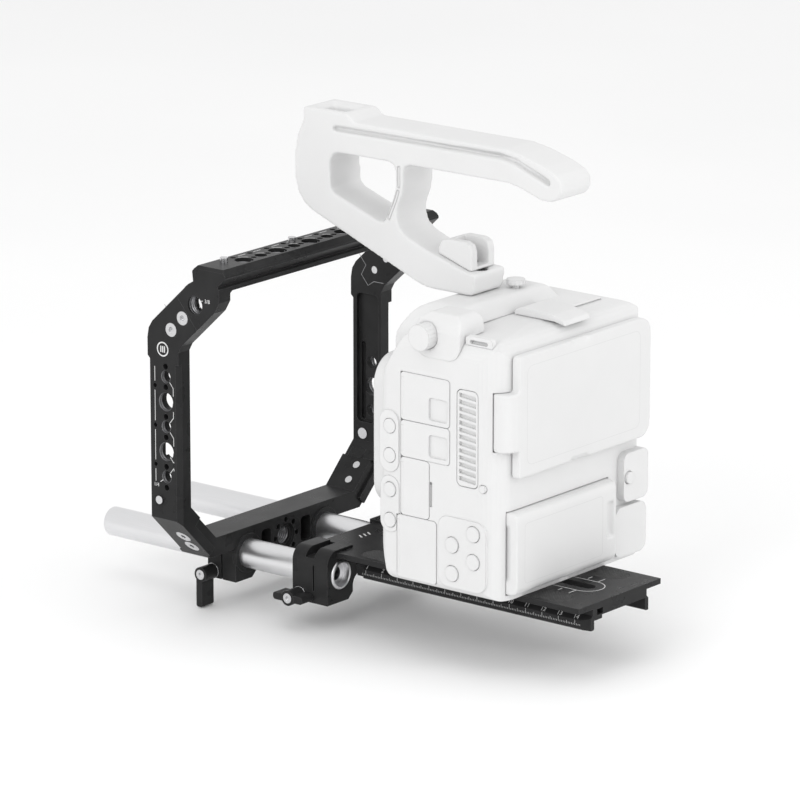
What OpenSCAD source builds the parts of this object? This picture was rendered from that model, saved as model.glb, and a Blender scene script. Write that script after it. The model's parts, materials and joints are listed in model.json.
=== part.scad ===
// Cinema camera rig: a half cage with rail on two 15 mm rods, clamped to a quick-release
// base plate that carries a boxy cinema camera with a top handle.
// Units: millimetres. +X is the operator's left, -Y is the lens side, +Z is up.
// Origin: middle of the base plate, at the foot of its dovetail, on the mid-plane.

/* [Rods] */
// outside diameter of a support rod
rod_d = 15; // [15:0.5:19]
// centre distance of the two rods
rod_gap = 60; // [60:1:104]
// length of a rod
rod_len = 152.4; // [100:0.1:300]

/* [Cage] */
// full width of the cage, outer face to outer face
cage_w = 166; // [150:1:190]
// wall thickness of the side arms
arm_t = 8.5; // [7:0.1:12]
// bore of a 3/8 inch accessory thread
hole_38 = 9.525; // [9.4:0.005:9.6]
// bore of a 1/4 inch accessory thread
hole_14 = 6.35; // [6.2:0.05:6.5]
// width of the accessory rail head
rail_w = 21.1; // [20:0.1:22]

/* [Base plate] */
// width of the top plate
plate_w = 66; // [60:1:80]
// full length of the plate with its front tongue
plate_len = 170; // [140:1:220]
// width over the dovetail feet
dove_w = 49; // [44:0.5:52]

/* [Camera] */
// thickness of the monitor
lcd_t = 4.7; // [4:0.1:9]
// throat diameter of the lens mount
throat_d = 54; // [48:0.5:60]
// diameter of the round push buttons
button_d = 7.2; // [5:0.1:9]
// width of the top handle
handle_w = 24; // [20:1:30]

/* [Hidden] */
$fn = 64;
base_y = 64.5;          // from the rods' rear ends to the middle of the plate
base_z = 1.5;           // rod axis above the dovetail foot
rod_r = rod_d / 2;
rod_x = rod_gap / 2;
fit = 0.05;             // running clearance of a sliding piece
cx = cage_w / 2;
ci = cx - arm_t;
y_rear = plate_len - 20.5;
x_top = plate_w / 2;
x_foot = dove_w / 2;
slant_out = 55;         // x - z on the outer slanted corner face
slant_mid = 47.8;       // x - z on the lap joint
slant_in = 40.6;        // x - z on the inner slanted face
post_y = -68.4;         // hole row on the side arms
post_14 = [101.1, 75.6, 50.0];
post_38 = [88.4, 62.9];
post_pin = [106.3, 95.8, 80.7, 70.2, 55.1, 44.4];
side_pin = [95.7, 75.5, 55.5];
rail_y = -37.5;
rail_pin_y = -44.5;
lever_y = -76.2;
lever_z = -9.9;
wing_y = -18.5;
wing_z = -10.9;
body_l = 52;            // left face of the camera
body_r = -64;           // right face of the camera
body_f = 41;            // front face of the camera
body_b = 115;           // rear face of the camera
body_z = 12.05;         // underside of the camera
lens_z = 78;
hinge_x = 44.5;
hinge_y = 113.5;
cam_y = [66, 78];      // screws between plate and camera
bolt_y = [53, 62];      // screws between handle and camera
thumb = [-17, 71.5];     // knob of the handle lock
hw = handle_w / 2;

black = [0.09, 0.09, 0.10];
white = [0.90, 0.90, 0.90];
silver = [0.78, 0.78, 0.80];
rubber = [0.16, 0.16, 0.17];

// ---------- helpers ----------
module rig() { translate([0, -base_y, base_z]) children(); }
// a YZ profile carried along X
module along_x(a, b) { translate([a, 0, 0]) rotate([90, 0, 90]) linear_extrude(b - a) children(); }
// an XZ profile carried along Y
module along_y(a, b) { translate([0, b, 0]) rotate([90, 0, 0]) linear_extrude(b - a) children(); }
module along_z(a, b) { translate([0, 0, a]) linear_extrude(b - a) children(); }
module bar_x(a, b, y, z, r) { translate([a, y, z]) rotate([0, 90, 0]) cylinder(r = r, h = b - a); }
module bar_y(a, b, x, z, r) { translate([x, b, z]) rotate([90, 0, 0]) cylinder(r = r, h = b - a); }
module bar_z(a, b, x, y, r) { translate([x, y, a]) cylinder(r = r, h = b - a); }
module rr(x0, y0, x1, y1, r) {
  translate([x0 + r, y0]) square([x1 - x0 - 2 * r, y1 - y0]);
  translate([x0, y0 + r]) square([x1 - x0, y1 - y0 - 2 * r]);
  for (x = [x0 + r, x1 - r]) for (y = [y0 + r, y1 - r]) translate([x, y]) circle(r = r);
}
module box(a, b) { translate(a) cube(b - a); }
module both() { children(); mirror([1, 0, 0]) children(); }
function slant(s, d) = [(s + d) / 2, (s - d) / 2];
function unit(v) = v / norm(v);
function turn(a) = a > 180 ? a - 360 : a < -180 ? a + 360 : a;
// an outline of [x, y, radius] corners, each rounded with an arc of n steps
function soft(p, n = 6) = [for (i = [0 : len(p) - 1])
  let (k = len(p), a = p[(i + k - 1) % k], b = p[i], c = p[(i + 1) % k], q = [b[0], b[1]])
  each (len(b) < 3 ? [q] :
    let (u = unit([a[0], a[1]] - q), v = unit([c[0], c[1]] - q), h = acos(u * v) / 2, t = b[2] / tan(h),
      o = q + unit(u + v) * b[2] / sin(h), s = q + u * t - o, e = q + v * t - o,
      s0 = atan2(s[1], s[0]), d = turn(atan2(e[1], e[0]) - s0))
    [for (j = [0 : n]) o + b[2] * [cos(s0 + d * j / n), sin(s0 + d * j / n)]])];

// ---------- cage ----------
arm_front = [[-78.5, 0], [-78.5, 109], [-80, 110.5], [-80, 119.6], [-79.1, 124.6], [-76.7, 128.4]];
arm_rear = [[-33.3, 148.45], [-33.3, 143.8], [-36.4, 138.4], [-57.9, 118.3], [-60, 114.5], [-60, 0]];
module arm_yz() { polygon(concat(arm_front, [[-55.3, 148.45]], arm_rear)); }
module lap_cut() { polygon([[-60.8, 143.4], [-47.8, 127.7], [-20, 127.7], [-20, 170], [-70, 170], [-70,
  152]]); }
module tongue(g) {
  polygon([[-58, 147], [-76, 135], [-73.4, 131.4], [-70.0 + g, 127.3], [-73.0 + g, 122],
    [-68.6, 116.8 + g], [-64.8, 119.4 + g], [-50, 119.4 + g], [-40, 127.7], [-44, 131]]);
}
module arm_xz() {
  polygon([[cx, 149], [cx, 28], slant(66.1, slant_out), slant(66.1, slant_mid), slant(94.7, slant_mid),
    slant(94.7, slant_in), [ci, ci - slant_in], [ci, 149]]);
}
module tab_xz(g) {
  polygon([slant(94, slant_in - 1), slant(102.4 + g, slant_in - 1), slant(102.4 + g, 44 + g), slant(94,
    44 + g)]);
}
module slant_axis(s, y) {
  p = slant(s, slant_out);
  translate([p[0], y, p[1]]) rotate([0, 135, 0]) children();
}
module side_arm(full) {
  difference() {
    intersection() {
      along_x(50, cx) arm_yz();
      along_y(-81, -33) arm_xz();
    }
    along_x(ci - 1, cx + 1) lap_cut();
    along_x(ci - 1, 78.75) tongue(0);
    along_y(-76.55, -67.45) tab_xz(0.05);
    // chamfer on the rear outer edge of the post
    along_z(20, 108) polygon([[80.4, -59], [80.4, -60], [cx, -62], [84, -62], [84, -59]]);
    // thread bores, dowel bores and the inner pocket
    for (z = post_14) if (full || z < 80) bar_x(ci - 1, cx + 1, post_y, z, hole_14 / 2);
    for (z = post_38) if (full || z < 80) bar_x(ci - 1, cx + 1, post_y, z, hole_38 / 2);
    if (!full) bar_x(cx - 4, cx + 1, post_y, post_14[0], hole_14 / 2);
    if (!full) bar_x(cx - 4, cx + 1, post_y, post_38[0], hole_38 / 2);
    for (z = post_pin) bar_x(cx - 4, cx + 1, post_y, z, 1.6);
    for (z = side_pin) bar_x(cx - 4, cx + 1, -75.4, z, 1.2);
    along_x(ci - 1, ci + 2.5) rr(-76.2, 44, -62, 112.3, 2.5);
    along_x(ci - 1, ci + 4.4) rr(-75.1, 44.6, -72, 86, 1.5);
    // joint screws
    for (p = [[-57.3, 132.5], [-64.7, 125.5]]) {
      bar_x(77, cx + 1, p[0], p[1], 2.05);
      bar_x(cx - 2, cx + 1, p[0], p[1], 3.6);
    }
    for (s = [88, 75.2]) slant_axis(s, -68) {
      cylinder(r = 2.05, h = 20, center = true);
      translate([0, 0, -2.3]) cylinder(r1 = 1.9, r2 = 4.25, h = 2.35);
    }
    bar_x(ci - 1, cx + 1, -72.2, 37.8, 2.15);
  }
}
module cage_left_arm() { color(black) rig() side_arm(true); }
module cage_right_arm() {
  color(black) rig() mirror([1, 0, 0]) difference() {
    side_arm(false);
    box([81.6, -64, 91], [84, -59, 103.5]);
  }
}
module cage_top_bar() {
  rail_l = -39.85 - rail_w / 2;
  rail_r = -39.85 + rail_w / 2;
  color(black) rig() difference() {
    union() {
      along_x(-cx, cx) polygon([[-47.9, 160.5], [-31.8, 160.5], [rail_r, 157.6], [rail_r, 156.5],
        [-34.6, 151.5], [-33.3, 150.6], [-33.3, 148.5], [-53, 148.5], [-53, 150.6], [-45.2, 151.5],
        [rail_l, 156.5], [rail_l, 157.6]]);
      both() {
        along_x(ci, cx) polygon([[rail_l, 157], [rail_l + 0.5, 152.4], [-53, 150.6], [-55.5, 148.5],
          [-40, 148.5], [-40, 157]]);
        along_x(ci, cx) polygon([[-53, 150.6], [-60.75, 143.35], [-47.75, 127.75], [-36.4, 138.4],
          [-33.3, 143.8], [-33.3, 149.5]]);
        along_x(ci, 78.7) intersection() { tongue(0.1); arm_yz(); }
        difference() {
          along_y(-53, -36.4) polygon([[ci - 10, 148.6], [ci, 148.6], [ci, 138.5], [ci - 10, 138.5]]);
          bar_y(-54, -35, ci - 10, 138.5, 10);
        }
      }
    }
    for (i = [-2:2]) {
      bar_z(154, 162, -4.3 + 25.4 * i, rail_y, hole_14 / 2);
      bar_z(154, 162, 8.4 + 25.4 * i, rail_y, hole_38 / 2);
      for (d = [-5.4, 5.4, 12.7]) bar_z(156, 162, -4.3 + 25.4 * i + d * 1.0,
        d == 12.7 ? rail_pin_y : rail_y, 1.5);
      bar_z(156, 162, -4.3 + 25.4 * i, rail_pin_y, 1.5);
    }
    both() {
      bar_z(154, 162, 69, -42, 2.05);
      along_y(-60, -20) polygon([[cx - 1.6, 160.6], [cx + 1, 160.6], [cx + 1, 158]]);
      bar_x(ci - 11, cx + 1, -48.9, 140.4, hole_38 / 2);
      for (p = [[-57.3, 132.5], [-64.7, 125.5]]) bar_x(ci - 1, cx + 1, p[0], p[1], 2.05);
    }
    bar_z(154, 162, 15.7, -43.4, 2.05);
  }
}
module cage_bottom_bar() {
  half = [[0, 13.3], [ci - 20.55, 13.3], slant(94.6, slant_in), slant(94.6, slant_mid - 0.05),
    slant(66, slant_mid - 0.05), slant(66, slant_out), [58.7, 3.7], [41, 3.7], [39.2, 2.2], [39.2, -13.7],
    [26.6, -13.7], [22, -9.4], [0, -9.4]];
  color(black) rig() difference() {
    union() {
      both() {
        along_y(-80, -61.5) polygon(half);
        along_y(-76.5, -67.5) intersection() { tab_xz(0); polygon([[50, 13], [95, 13], [95, 50],
          slant(100, slant_in)]); }
        bar_y(-63, -60.6, rod_x, 0, rod_r + 2.6);
      }
    }
    both() {
      bar_y(-81, -60, rod_x, 0, rod_r + fit);
      box([30, -71.3, -14], [40, -70.3, 3.2]);
      for (s = [88, 75.2]) slant_axis(s, -68) cylinder(r = 2.05, h = 24, center = true);
      bar_x(24, 40, lever_y, lever_z, 1.8);
      along_y(-68, -61) rr(11.5, -4, 19.4, 9, 2.2);
    }
    bar_y(-81, -61, 0, 2, hole_38 / 2);
    for (i = [0:7]) bar_y(-64, -61, 8.4 * cos(45 * i), 2 + 8.4 * sin(45 * i), 1.5);
    bar_y(-63, -61, 0, 2, 6.6);
  }
}
module cage_upper_screws() {
  color(silver) rig() both() for (p = [[-57.3, 132.5], [-64.7, 125.5]]) difference() {
    union() { bar_x(cx - 2, cx - 0.1, p[0], p[1], 3.5); bar_x(ci + 0.3, cx - 1.5, p[0], p[1], 2); }
    translate([cx - 1.4, p[0], p[1]]) rotate([0, 90, 0]) cylinder(r = 1.6, h = 3, $fn = 6);
  }
}
module cage_lower_screws() {
  color(silver) rig() both() for (s = [88, 75.2]) slant_axis(s, -68) difference() {
    union() {
      translate([0, 0, -2.25]) cylinder(r1 = 1.95, r2 = 4.1, h = 2.15);
      translate([0, 0, -10.6]) cylinder(r = 2, h = 10);
    }
    translate([0, 0, -1.4]) cylinder(r = 1.5, h = 3, $fn = 6);
  }
}
module cage_pins() {
  color(silver) rig() both() { bar_x(ci - 0.3, cx + 1.6, -72.2, 37.8, 2.1);
    bar_x(ci - 0.5, ci - 0.05, -72.2, 37.8, 2.9); }
}
module rail_pins() {
  color(silver) rig() {
    both() bar_z(154.1, 163, 69, -42, 2);
    bar_z(154.1, 163, 15.7, -43.4, 2);
  }
}

// ---------- clamp levers ----------
module lever_body() {
  difference() {
    union() {
      bar_x(40.4, 49.5, lever_y, lever_z, 3.8);
      along_x(40.6, 49.5) { rr(lever_y - 2.7, lever_z - 17, lever_y + 1.1, lever_z, 1.2); }
    }
    bar_x(40, 50, lever_y, lever_z, 1.85);
    bar_x(48.2, 50, lever_y, lever_z, 2.65);
  }
}
module lever_screw() {
  difference() {
    union() { bar_x(26, 49, lever_y, lever_z, 1.75); bar_x(48.3, 49.7, lever_y, lever_z, 2.55); }
    translate([48.9, lever_y, lever_z]) rotate([0, 90, 0]) cylinder(r = 1.1, h = 2, $fn = 6);
  }
}
module lever_left() { color(black) rig() lever_body(); }
module lever_right() { color(black) rig() mirror([1, 0, 0]) lever_body(); }
module lever_screw_left() { color(silver) rig() lever_screw(); }
module lever_screw_right() { color(silver) rig() mirror([1, 0, 0]) lever_screw(); }
module lever_washers() {
  color(silver) rig() both() difference() {
    bar_x(39.25, 40.3, lever_y, lever_z, 4);
    bar_x(39, 41, lever_y, lever_z, 1.85);
  }
}
module wing_body() {
  difference() {
    union() {
      bar_x(41.5, 50.3, wing_y, wing_z, 3.9);
      along_x(41.8, 50.2) rr(wing_y - 9.4, wing_z - 1.9, wing_y + 9.4, wing_z + 1.9, 1.5);
    }
    bar_x(41, 51, wing_y, wing_z, 1.85);
    bar_x(48.9, 51, wing_y, wing_z, 2.65);
  }
}
module wing_screw() {
  difference() {
    union() { bar_x(26, 50, wing_y, wing_z, 1.75); bar_x(49, 50.5, wing_y, wing_z, 2.55); }
    translate([49.6, wing_y, wing_z]) rotate([0, 90, 0]) cylinder(r = 1.1, h = 2, $fn = 6);
  }
}
module wing_left() { color(black) rig() wing_body(); }
module wing_right() { color(black) rig() mirror([1, 0, 0]) wing_body(); }
module wing_screw_left() { color(silver) rig() wing_screw(); }
module wing_screw_right() { color(silver) rig() mirror([1, 0, 0]) wing_screw(); }
module wing_washers() {
  color(silver) rig() both() difference() {
    bar_x(40.35, 41.4, wing_y, wing_z, 4.1);
    bar_x(40, 42, wing_y, wing_z, 1.85);
  }
}

// ---------- rods ----------
module rod() {
  translate([rod_x, 0, 0]) rotate([90, 0, 0]) rotate_extrude()
    polygon([[3.5, 4], [6, 4], [6, 0], [rod_r - 0.6, 0], [rod_r, 0.6], [rod_r, rod_len - 0.8],
      [rod_r - 0.8, rod_len], [6, rod_len], [6, rod_len - 12], [3.5, rod_len - 12]]);
}
module rod_left() { color(silver) rig() rod(); }
module rod_right() { color(silver) rig() mirror([1, 0, 0]) rod(); }

// ---------- base plate ----------
module dovetail_plate() {
  half = [[0, 12], [x_top, 12], [x_top, 9.2], [21.6, 9.2], [21.6, 6], [x_foot, 3.1], [x_foot, -1],
    [x_foot - 0.5, -1.5], [21.2, -1.5], [20.6, -0.9], [20.6, 5], [0, 5]];
  color(black) rig() difference() {
    union() {
      both() along_y(3, y_rear) polygon(half);
      both() box([0, -0.95, 9.2], [x_top, 3.5, 12]);
      both() box([0, -20.5, 5.05], [20, 3.5, 12]);
      box([14.3, y_rear - 20, 3.2], [20.8, y_rear, 5.2]);
    }
    both() {
      // lead-in of the dovetail feet, and room for a rod that is pushed back
      along_z(-2, 7) polygon([[x_foot + 1, y_rear - 8], [x_foot, y_rear - 6.2], [x_foot - 1.7,
        y_rear + 1], [x_foot + 3, y_rear + 1]]);
      bar_y(-2.5, 9, rod_x, 0, 8.4);
      along_z(11, 13) rr(16, 9, 30, 136.5, 6.9);
      for (y = [-16, -6]) bar_z(4, 10.5, 12, y, 2.05);
    }
    along_z(4, 13) rr(-3.4, 50, 3.4, 134, 3.39);
    along_z(4, 9) rr(-6.4, 48, 6.4, 137, 6.39);
    box([13.6, y_rear - 12, 5.6], [18.4, y_rear + 1, 8.6]);
  }
}
module plate_pads() { color(rubber) rig() both() along_z(11.02, 12) rr(16.1, 9.1, 29.9, 136.4, 6.8); }
module rear_clamp() {
  color(black) rig() difference() {
    union() {
      both() {
        along_y(-23.4, -1) {
          polygon([[20.4, -14.2], [40.3, -14.2], [40.3, 5.9], [33, 5.9], [33, 13.2], [20.4, 13.2]]);
          translate([33, 5.9]) circle(r = 7.3);
          polygon([[0, 4.95], [21, 4.95], [21, -2], [0, -2]]);
        }
        along_y(-23.4, -1) difference() {
          polygon([[14.4, -1.9], [20.5, -1.9], [20.5, -8], [14.4, -8]]);
          translate([14.4, -8]) circle(r = 6);
        }
      }
    }
    both() {
      bar_y(-24, 0, rod_x, 0, rod_r + fit);
      box([20, -15.5, 8.7], [41, -9.8, 14]);
      box([34, -10.5, -8], [41, -9.5, 5.3]);
      bar_x(24, 41, wing_y, wing_z, 1.8);
      along_y(-25, 1) polygon([[20, -15], [20, -10.5], [24, -14.3], [24, -15]]);
      for (y = [-16, -6]) { bar_z(-3, 6, 12, y, 2.1); bar_z(-3, 1.2, 12, y, 3.7); }
    }
  }
}
module clamp_screws() {
  color(silver) rig() both() for (y = [-16, -6]) difference() {
    union() { bar_z(-1.9, 1.1, 12, y, 3.5); bar_z(1, 10, 12, y, 2); }
    translate([12, y, -2]) cylinder(r = 1.7, h = 1.8, $fn = 6);
  }
}
module camera_screws() {
  color(silver) rig() for (y = cam_y) difference() {
    union() { bar_z(5.3, 8.9, 0, y, 5.6); bar_z(8.8, 17.5, 0, y, 3.1); }
    translate([0, y, 5]) cylinder(r = 2.3, h = 2.2, $fn = 6);
  }
}

// ---------- camera ----------
module body_plan() {
  polygon(soft([[body_l, body_f, 6], [body_l, body_b, 12], [body_r, body_b, 8], [body_r, body_f, 10]], 8));
}
module body_side() {
  polygon(soft([[47.5, body_z, 4], [body_f, 36, 30], [body_f, 112, 16], [59, 140.5, 10], [99, 140.5, 24],
    [body_b, 138.4, 10], [body_b + 0.5, 60], [body_b + 0.5, body_z]]));
}
module body_front() {
  polygon(soft([[body_l, body_z, 6], [body_l, 138.9, 10], [8, 140.5], [body_r, 140.5, 9], [body_r,
    body_z, 7]], 8));
}
doors = [[55.3, 94.6, 85.3, 118.4], [55.3, 76.1, 85.3, 94.3], [55.3, 46.8, 72.8, 75.8], [53, 14.8,
  77.3, 46.5]];
col_y = 48.9;
col_z = [90.1, 75.4, 58.1, 42.7];
quad = [[87.4, 37.1], [100.3, 44.7], [87.4, 22.7], [100.3, 30.7]];
module body_solid(g) {
  intersection() {
    along_z(body_z, 141) body_plan();
    along_x(-70, 60) translate([0, g]) body_side();
    along_y(30, 125) translate([g, g]) body_front();
  }
}
module camera_shell() {
  color(white) rig() difference() {
    union() {
      body_solid(0);
      along_x(body_l - 2, body_l + 0.8) rr(42.6, 67, 54.4, 98, 5.8);
      along_x(body_l - 2, body_l + 0.5) rr(42.9, 36.5, 54.4, 65, 5.7);
      along_x(body_l - 2, body_l + 0.5) rr(78.6, 15.5, 108, 51, 6);
      along_y(body_b - 2, body_b + 4) rr(body_r + 1.2, 42, -43, 67, 4);
      along_y(body_b - 2, body_b + 3.5) rr(body_r + 1.8, 14.5, -37, 40, 5);
    }
    // hollow inside, battery bay and monitor hinge seat
    box([-57, 52, 20], [44, 80, 119]);
    box([-57, 62, 110], [44, 80, 132]);
    box([-57, 79, 62], [44, 98.5, 132]);
    box([-35.6, 84, 14.6], [44.6, 125, 56.6]);
    bar_z(86.6, 116, hinge_x, hinge_y, 6.4);
    box([35.5, 112.7, 86.6], [50, 121, 116]);
    // front opening behind the lens mount
    along_y(30, 60) rr(-34, 46, 34, 112, 4);
    bar_x(50.1, 60, 71.3, 138.7, 6.6);
    // doors, grille, buttons, fan outlet
    for (d = doors) along_x(body_l - 2.6, body_l + 2) {
      rr(d[0] - 0.25, d[1] - 0.15, d[2] + 0.25, d[3] + 0.15, 2.1);
      rr(d[0] - 0.25, d[1] - 0.15, d[0] + 4, d[3] + 0.15, 0.5);
    }
    along_x(body_l - 9, body_l + 2) rr(89.6, 67.2, 102.8, 115.6, 3);
    for (z = col_z) bar_x(body_l - 4.5, body_l + 2, col_y, z, button_d / 2 + 0.2);
    for (q = quad) bar_x(body_l - 4.5, body_l + 2, q[0], q[1], button_d / 2 + 0.5);
    bar_x(body_l - 4.5, body_l + 2, 105.5, 68, 2.1);
    // top recesses and base threads
    for (y = cam_y) bar_z(10, 18, 0, y, 3.2);
    for (y = bolt_y) bar_z(133.4, 142, 0, y, 2.6);
    bar_z(130, 142, thumb[0], thumb[1], 1.75);
    bar_x(body_l - 1.5, body_l + 1, 73.1, 65, 0.6);
    box([body_l - 1.2, 73.2, 53.5], [body_l + 1, 74.6, 66]);
    bar_y(body_b - 5, body_b + 10, -47, 54.5, 3.3);
  }
}
module top_cover() {
  color(white) rig() difference() {
    intersection() {
      along_y(40, 92) polygon(soft([[-42, 117], [-41, 140, 6], [-34, 149, 7], [31, 149, 10], [43.5,
        138, 8], [44, 117]]));
      along_x(-60, 60) polygon(soft([[52, 116.5], [45, 119.5], [44.6, 133, 14], [50, 145.6, 8], [57,
        149, 6],
        [77.5, 149, 5], [82, 141.1], [82, 130], [60, 122]]));
    }
    body_solid(0.05);
    for (y = bolt_y) bar_z(110, 150, 0, y, 2.6);
    bar_z(130, 150, thumb[0], thumb[1], 1.75);
    along_x(32.9, 60) rr(64.2, 127.8, 91.7, 149.7, 7.1);
  }
}
module mount_housing() {
  color(white) rig() difference() {
    union() {
      along_y(27, 40.9) rr(-38, 42, 38, 118, 14);
      bar_y(24, 27.1, 0, lens_z, 34);
    }
    bar_y(20, 45, 0, lens_z, throat_d / 2 + 2.05);
    bar_y(20, 31, 0, lens_z, 31.05);
    bar_y(20, 36, -32, 55.2, 3.1);
  }
}
module lens_mount() {
  color(silver) rig() difference() {
    union() { bar_y(22.5, 30.9, 0, lens_z, 31); bar_y(30.8, 40, 0, lens_z, throat_d / 2 + 2); }
    bar_y(20, 41, 0, lens_z, throat_d / 2);
    for (a = [45, 135, 225, 315]) bar_y(21, 26, 29.1 * cos(a), lens_z + 29.1 * sin(a), 0.9);
  }
}
module mount_button() { color(silver) rig() bar_y(25.6, 34, -32, 55.2, 3); }
module image_sensor() {
  color([0.15, 0.16, 0.2]) rig() { box([-15, 60.5, 68], [15, 62.5, 88]);
    box([-22, 62.5, 62], [22, 64, 94]); box([-6, 63.5, 20], [6, 66, 70]); }
}
module side_housing() {
  color(white) rig() difference() {
    intersection() {
      along_x(33, 52.6) rr(64.3, 127.9, 91.6, 149.6, 7);
      along_y(60, 96) polygon([[33, 126], [52.6, 126], [52.6, 141.5], [51, 146.2], [47, 149.6], [33,
        149.6]]);
    }
    body_solid(0.05);
    bar_x(50.1, 60, 71.3, 138.7, 6.6);
  }
}
module side_knob() {
  color(white) rig() difference() {
    bar_x(50.15, 58.4, 71.3, 138.7, 6.5);
    for (i = [0:17]) bar_x(53.4, 59, 71.3 + 6.8 * cos(20 * i), 138.7 + 6.8 * sin(20 * i), 0.5);
  }
}
module strap_lug() {
  color(white) rig() difference() {
    along_x(45.4, 48.6) rr(92.2, 133, 108.6, 141.6, 2);
    along_x(44, 50) rr(94.8, 137.8, 105.6, 139.7, 0.9);
    body_solid(0.05);
  }
}
module accessory_cover() {
  color(white) rig() bar_x(-21, -0.5, 84.3, 141.7, 1);
  color(white) rig() along_x(-21, -0.5) polygon([[84.3, 140.7], [84.3, 143.4], [88, 145], [106, 143.8],
    [113.4, 142],
    [114.4, 139.4], [108, 140.65]]);
}
module handle_screw() {
  color(white) rig() difference() {
    union() { bar_z(133, 152, thumb[0], thumb[1], 1.7); bar_z(150.9, 153.4, thumb[0], thumb[1], 4.6); }
    for (i = [0:11]) bar_z(150, 154, thumb[0] + 4.9 * cos(30 * i), thumb[1] + 4.9 * sin(30 * i), 0.5);
  }
}
module lcd_monitor() {
  y0 = body_b + 0.35;
  color(white) rig() difference() {
    union() {
      along_y(y0, y0 + lcd_t) { rr(-63, 73, 20, 133.5, 8); rr(-20, 73, 42, 133.5, 1.5); }
      bar_z(86.9, 115.7, hinge_x, hinge_y, 6);
      along_z(86.9, 115.7) polygon([[36, 113.1], [44.5, 113.1], [44.5, 119.5], [43.4, y0 + lcd_t], [36,
        y0 + lcd_t]]);
    }
    bar_z(86, 91, hinge_x, hinge_y, 2.6);
    along_y(y0 - 1, y0 + 0.8) rr(-58, 79, 30, 128, 2);
    along_y(y0 + lcd_t - 1.2, y0 + lcd_t + 1) rr(-13, 131.6, 1, 135, 0.8);
    along_y(y0 + lcd_t - 1.2, y0 + lcd_t + 1) rr(-13, 71, 1, 75, 0.8);
  }
}
module battery() {
  color(white) rig() difference() {
    along_x(-35.3, 44.3) polygon([[84.6, 15], [84.6, 56.2], [117, 56.2], [119.6, 55.2], [120.6, 52.6],
      [120.6, 18.4],
      [119.6, 16], [117, 15]]);
    box([43.4, 100, 22], [45, 116, 50]);
    box([-22, 84, 24], [-2, 86, 30]);
    bar_z(28, 46, -30.5, 121.5, 3);
  }
}
module battery_latch() { color(white) rig() bar_y(112.4, 120.2, -47, 54.5, 3); }
module door(d, grip) {
  difference() {
    union() {
      along_x(body_l - 2.3, body_l + 0.2) rr(d[0], d[1], d[2], d[3], 1.9);
      bar_z(d[1] + 2.5, d[3] - 2.5, body_l - 0.4, d[0] + 0.9, 0.9);
    }
    if (grip) along_x(body_l - 0.9, body_l + 1) rr(d[2] - 12.6, d[1] + 2.2, d[2] - 1.4, d[1] + 13.4, 1.6);
  }
}
module door_upper() { color(white) rig() door(doors[0], true); }
module door_middle() { color(white) rig() door(doors[1], true); }
module door_lower() { color(white) rig() door(doors[2], false); }
module door_bottom() { color(white) rig() door(doors[3], false); }
module vent_grille() {
  color(white) rig() difference() {
    along_x(body_l - 7, body_l) rr(89.9, 67.5, 102.5, 115.3, 2.8);
    for (i = [0:12]) translate([0, 0, 71.2 + 3.45 * i])
      along_x(body_l - 8, body_l + 1) polygon([[91.2, -0.9], [101.2, -1.9], [101.2, 0.1], [91.2, 1.1]]);
  }
}
module button(y, z) { bar_x(body_l - 2.9, body_l + 1.1, y, z, button_d / 2); }
module button_a1() { color(white) rig() button(col_y, col_z[0]); }
module button_a2() { color(white) rig() button(col_y, col_z[1]); }
module button_a3() { color(white) rig() button(col_y, col_z[2]); }
module button_a4() { color(white) rig() button(col_y, col_z[3]); }
module quad_button(q) { bar_x(body_l - 2.9, body_l + 1.2, q[0], q[1], button_d / 2 + 0.3); }
module button_b1() { color(white) rig() quad_button(quad[0]); }
module button_b2() { color(white) rig() quad_button(quad[1]); }
module button_b3() { color(white) rig() quad_button(quad[2]); }
module button_b4() { color(white) rig() quad_button(quad[3]); }
module button_small() { color(white) rig() bar_x(body_l - 2.9, body_l + 0.5, 105.5, 68, 1.9); }
module hand_grip() {
  color(white) rig() difference() {
    intersection() {
      along_z(24, 122) { rr(-92, 30, body_r - 0.1, 74, 12); translate([-76, 34])
        square([76 + body_r - 0.1, 38]); }
      along_y(20, 80) polygon([[-64.1, 26], [-80, 24], [-88, 34], [-92, 70], [-91, 100], [-84, 118],
        [-70, 122], [-64.1, 120]]);
    }
    bar_y(20, 40, -79, 104, 5.2);
  }
}
module record_trigger() { color(white) rig() bar_y(29, 36.5, -79, 104, 5); }

// ---------- top handle ----------
module handle_side() {
  polygon([[-39, 229], [-39.4, 222], [-43.2, 214], [-44.6, 205], [-44.6, 193], [-42.6, 185.6], [-38.6,
    180.4], [-33, 176.9],
    [33, 150.9], [38, 149.6], [43, 149.05], [65.5, 149.05], [67.5, 150.4], [69, 158.8], [67.8, 160.4],
      [62.5, 160.6],
    [36, 169.1], [26, 173], [21.8, 176.2], [19.9, 181], [20.6, 187], [23.2, 193], [24, 198], [24, 205],
      [25.2, 207.6],
    [28, 208.7], [88, 208.7], [96, 207.2], [108, 203.2], [114, 202.8], [118.6, 204.6], [121, 208.6],
      [120.6, 213],
    [117.6, 216.4], [110, 219.6], [96, 223.6], [86, 225.2], [-7, 225.3], [-10.6, 228.2], [-12, 229]]);
}
module handle_window() {
  polygon([[-21.6, 190.4], [-19, 187.8], [9, 178], [12.6, 178.6], [13.6, 181], [16.2, 187.4], [18.8,
    194], [19.2, 199],
    [19.2, 204.6], [17.8, 207.4], [15, 208.7], [-16.4, 208.7], [-20.2, 207.2], [-22.2, 203.6]]);
}
module handle_groove() {
  polygon([[-19, 219.3], [84, 220.0], [92, 218.6], [113, 210.8], [114.2, 212.4], [113.4, 213.8], [93,
    221.4], [84, 222.7], [-19, 221.9], [-20.2, 220.6]]);
}
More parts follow.
